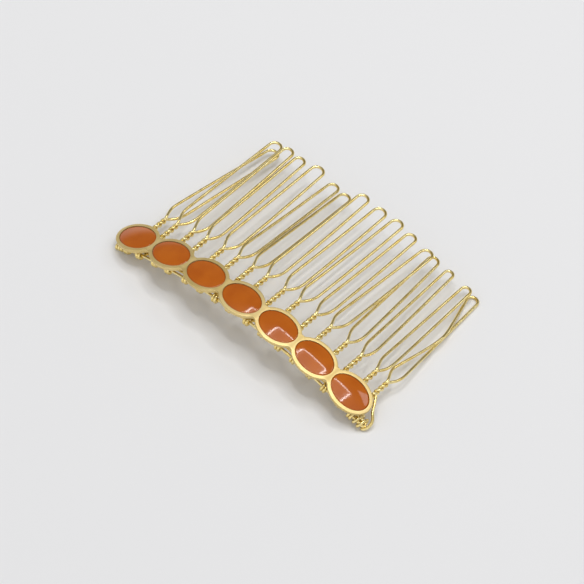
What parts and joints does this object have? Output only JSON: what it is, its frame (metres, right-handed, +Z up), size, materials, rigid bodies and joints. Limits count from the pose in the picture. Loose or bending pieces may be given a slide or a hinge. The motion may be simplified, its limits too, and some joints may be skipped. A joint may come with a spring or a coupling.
{
  "type": "hair comb",
  "caption": "Arched wire hair comb: twisted gilt hairpin teeth on a wire spine, topped by a joined strip of oval glossy orange enamel settings.",
  "frame": {"origin": "centre of the bounding box in plan, on the plane that the comb rests on", "axes": "+X along the bar, towards the end with the looped binding; +Y towards the tooth tips; +Z up, the enamelled faces upwards"},
  "size_m": [0.0672, 0.0424, 0.0096],
  "materials": {
    "gold_wire": "bright gold plate on drawn wire",
    "satin_gold": "satin gold plate with burnished edges",
    "enamel": "glossy domed orange enamel"
  },
  "bodies": {
    "root": {"bezel_strip": "satin_gold", "backing_strip": "satin_gold", "enamel_oval_1": "enamel", "enamel_oval_2": "enamel", "enamel_oval_3": "enamel", "enamel_oval_4": "enamel", "enamel_oval_5": "enamel", "enamel_oval_6": "enamel", "enamel_oval_7": "enamel", "tooth_01": "gold_wire", "tooth_02": "gold_wire", "tooth_03": "gold_wire", "tooth_04": "gold_wire", "tooth_05": "gold_wire", "tooth_06": "gold_wire", "tooth_07": "gold_wire", "tooth_08": "gold_wire", "tooth_09": "gold_wire", "tooth_10": "gold_wire", "tooth_11": "gold_wire", "tooth_12": "gold_wire", "tooth_13": "gold_wire", "tooth_14": "gold_wire", "tooth_15": "gold_wire", "tooth_16": "gold_wire", "spine_wire": "gold_wire", "binding_right": "gold_wire", "binding_left": "gold_wire"}
  },
  "joints": []
}
